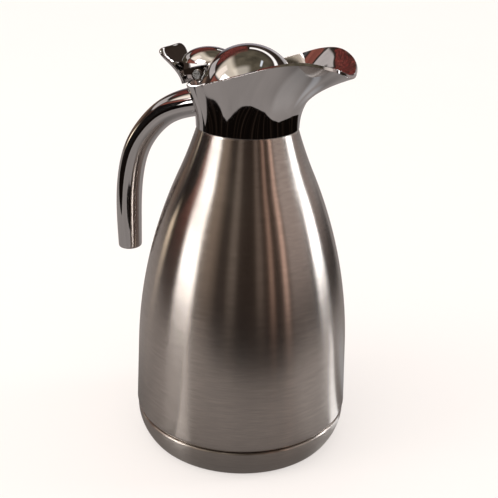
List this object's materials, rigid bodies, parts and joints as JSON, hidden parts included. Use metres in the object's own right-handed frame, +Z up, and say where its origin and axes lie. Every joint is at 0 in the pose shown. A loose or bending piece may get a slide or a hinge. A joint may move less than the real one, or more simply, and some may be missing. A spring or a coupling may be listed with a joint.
{
  "type": "vacuum coffee jug",
  "caption": "Double-walled steel vacuum jug with a sweeping pouring collar, open handle and a twist-off domed stopper whose thumb lever lifts a sprung pouring valve.",
  "frame": {"origin": "centre of the resting ring under the base", "axes": "+Z up along the jug's axis, +X towards the spout, -X towards the handle"},
  "size_m": [0.1782, 0.149, 0.2737],
  "materials": {
    "brushed_steel": "stainless steel with a fine grain round the body",
    "flask_steel": "satin stainless steel",
    "chrome": "mirror chrome",
    "black_plastic": "moulded food-grade polypropylene",
    "silicone": "translucent silicone",
    "screw_steel": "bright stainless steel",
    "spring_steel": "drawn stainless spring wire",
    "seal_glass": "fused glass solder",
    "getter_metal": "sintered grey metal"
  },
  "bodies": {
    "jug": {"outer_shell": "brushed_steel", "inner_flask": "flask_steel", "vacuum_base": "flask_steel", "vacuum_seal_bead": "seal_glass", "getter_pill": "getter_metal", "base_cup": "brushed_steel", "neck_gasket": "silicone", "threaded_sleeve": "black_plastic", "spout_collar": "chrome", "handle_screws": "screw_steel", "handle_outer_shell": "chrome", "handle_inner_cover": "chrome"},
    "stopper_ring": {"stopper_gasket": "silicone"},
    "lid": {"stopper_body": "black_plastic", "stopper_cap": "black_plastic", "stem_seal": "silicone", "spring_washer": "screw_steel", "lid_cover": "chrome", "dome_screws": "screw_steel", "lever_pin": "screw_steel", "pin_clip": "screw_steel", "lever_spring": "spring_steel", "valve_spring": "spring_steel"},
    "lever": {"thumb_lever": "chrome"},
    "valve": {"valve_stem": "screw_steel", "valve_disc": "black_plastic", "valve_gasket": "silicone", "stem_nut": "screw_steel"}
  },
  "joints": [
    {"name": "lid_lift", "type": "slide", "parent": "jug", "child": "stopper_ring", "axis": [0, 0, 1], "range_m": [0, 0.0801]},
    {"name": "lid_turn", "type": "hinge", "parent": "stopper_ring", "child": "lid", "pos_m": [0, 0, 0.232], "axis": [0, 0, 1], "range_deg": [0, 360]},
    {"name": "lever_press", "type": "hinge", "parent": "lid", "child": "lever", "pos_m": [-0.031, 0, 0.253], "axis": [0, -1, 0], "range_deg": [0, 10]},
    {"name": "valve_lift", "type": "slide", "parent": "lid", "child": "valve", "axis": [0, 0, 1], "range_m": [0, 0.0055], "deforming": ["valve_spring"]}
  ],
  "couplings": [
    {"joint": "lid_lift", "follows": "lid_turn", "m_per_rad": 0.012732},
    {"joint": "valve_lift", "follows": "lever_press", "m_per_rad": 0.031}
  ]
}
